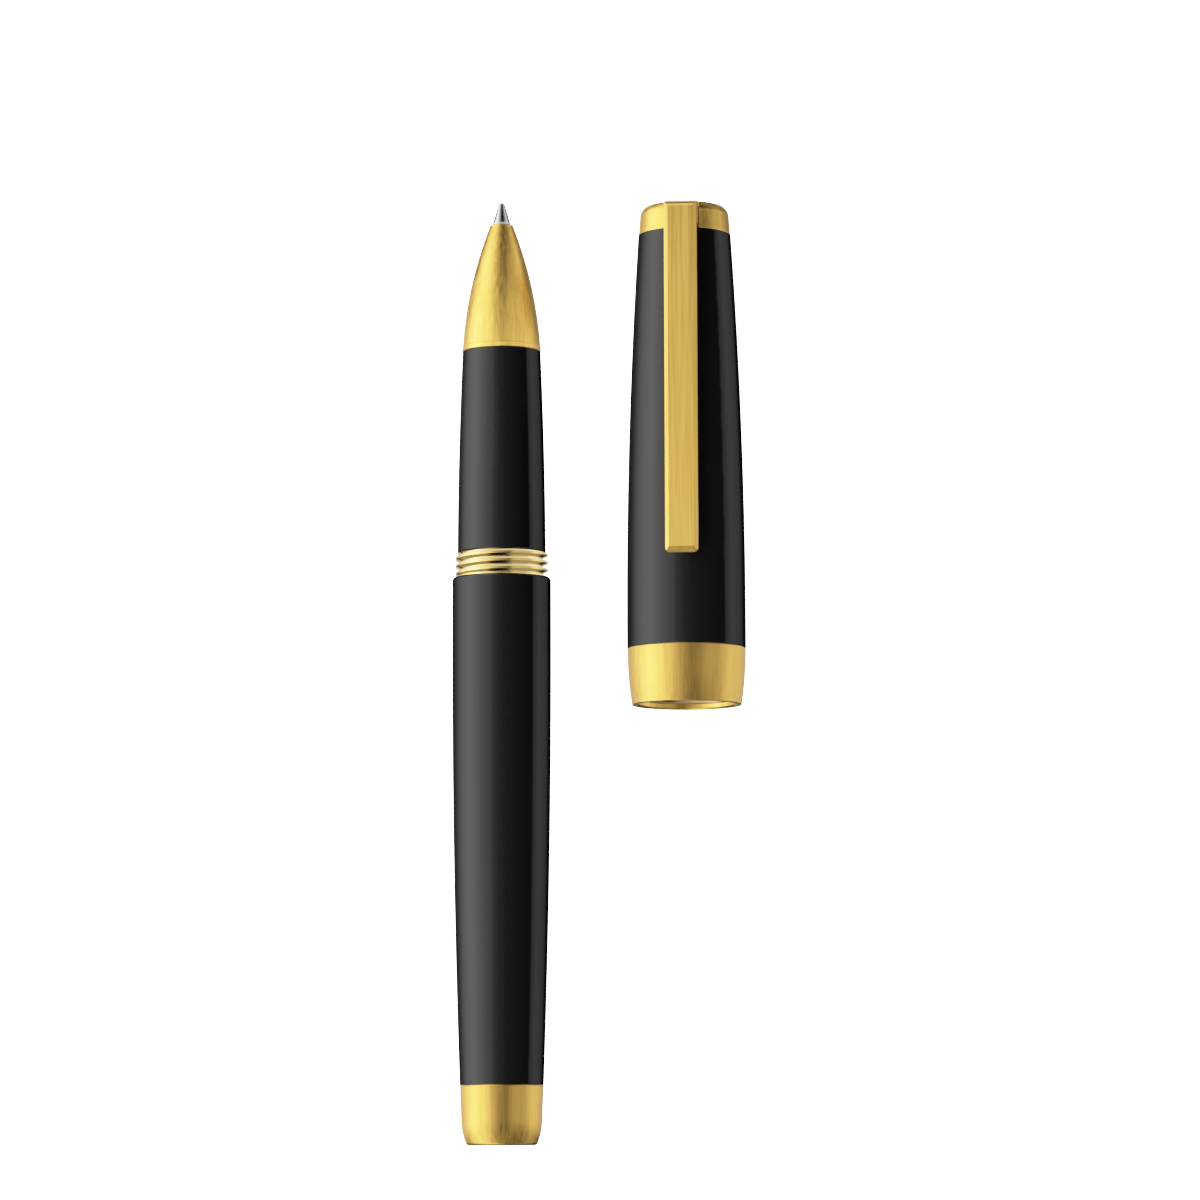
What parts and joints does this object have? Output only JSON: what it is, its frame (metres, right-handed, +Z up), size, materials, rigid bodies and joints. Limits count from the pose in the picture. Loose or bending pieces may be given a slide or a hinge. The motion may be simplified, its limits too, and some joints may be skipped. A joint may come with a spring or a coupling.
{
  "type": "rollerball pen",
  "caption": "Rollerball pen lying open beside its screw cap: black lacquered barrel and grip, brushed gold nose, ends, mouth band and bar clip.",
  "frame": {"origin": "on the surface that the pen and its cap lie on, below the middle of the box around both", "axes": "+Y along the pen from its rear end to the writing tip, +X from the pen to the cap beside it, +Z up"},
  "size_m": [0.0381, 0.123, 0.0172],
  "materials": {
    "black_lacquer": "gloss lacquer over brass",
    "satin_gold": "gold plated, brushed along its length",
    "polished_gold": "gold plated, polished",
    "bare_brass": "turned",
    "steel": "plain",
    "polished_steel": "polished",
    "hard_ball": "polished hard metal",
    "black_plastic": "moulded",
    "seal_rubber": "moulded",
    "ink_fibre": "bonded fibre soaked with ink"
  },
  "bodies": {
    "section": {"section_core": "bare_brass", "section_seal": "seal_rubber", "cap_thread_ring": "polished_gold", "grip_sleeve": "black_lacquer", "nose_cone": "satin_gold"},
    "spring": {"refill_spring": "steel"},
    "seat": {"spring_seat": "black_plastic"},
    "barrel": {"barrel_tube": "black_lacquer", "barrel_end_cap": "satin_gold", "barrel_end_sleeve": "bare_brass", "barrel_bush": "bare_brass"},
    "refill": {"refill_tube": "steel", "refill_plug": "black_plastic", "refill_reservoir": "ink_fibre", "refill_holder": "black_plastic", "refill_wick": "ink_fibre", "refill_tip": "polished_steel"},
    "ball": {"refill_ball": "hard_ball"},
    "cap": {"cap_tube": "black_lacquer", "cap_band": "satin_gold", "cap_thread_insert": "bare_brass", "cap_bulkhead": "bare_brass", "crown": "satin_gold", "crown_screw": "steel", "inner_cap": "black_plastic", "inner_cap_seal": "seal_rubber", "clip_pin": "steel", "clip_spring": "steel"},
    "clip": {"clip": "satin_gold"}
  },
  "joints": [
    {"name": "barrel_pull", "type": "slide", "parent": "section", "child": "spring", "axis": [0, -1, 0], "range_m": [0, 0.08], "deforming": ["refill_spring"]},
    {"name": "barrel_travel", "type": "slide", "parent": "spring", "child": "seat", "axis": [0, -1, 0], "range_m": [0, 0.0076]},
    {"name": "barrel_turn", "type": "hinge", "parent": "seat", "child": "barrel", "pos_m": [-0.01265, -0.06148, 0.0064], "axis": [0, -1, 0], "range_deg": [0, 3600]},
    {"name": "refill_press", "type": "slide", "parent": "section", "child": "refill", "axis": [0, -1, 0], "range_m": [0, 0.0012], "stiffness_N_per_m": 400, "springref_m": -0.002},
    {"name": "ball_roll", "type": "hinge", "parent": "refill", "child": "ball", "pos_m": [-0.01265, 0.06114, 0.0064], "axis": [1, 0, 0], "continuous": true},
    {"name": "cap_carry", "type": "slide", "parent": "section", "child": "cap", "axis": [-0.1961, 0.9805, -0.0106], "range_m": [0, 0.12238]},
    {"name": "clip_lift", "type": "hinge", "parent": "cap", "child": "clip", "pos_m": [0.01108, 0.05842, 0.01089], "axis": [-0.9965, 0, -0.0837], "range_deg": [0, 7], "stiffness_Nm_per_rad": 0.03, "springref_deg": -2.86, "deforming": ["clip_spring"]}
  ],
  "couplings": [
    {"joint": "barrel_travel", "follows": "barrel_turn", "m_per_rad": 0.00011937}
  ]
}
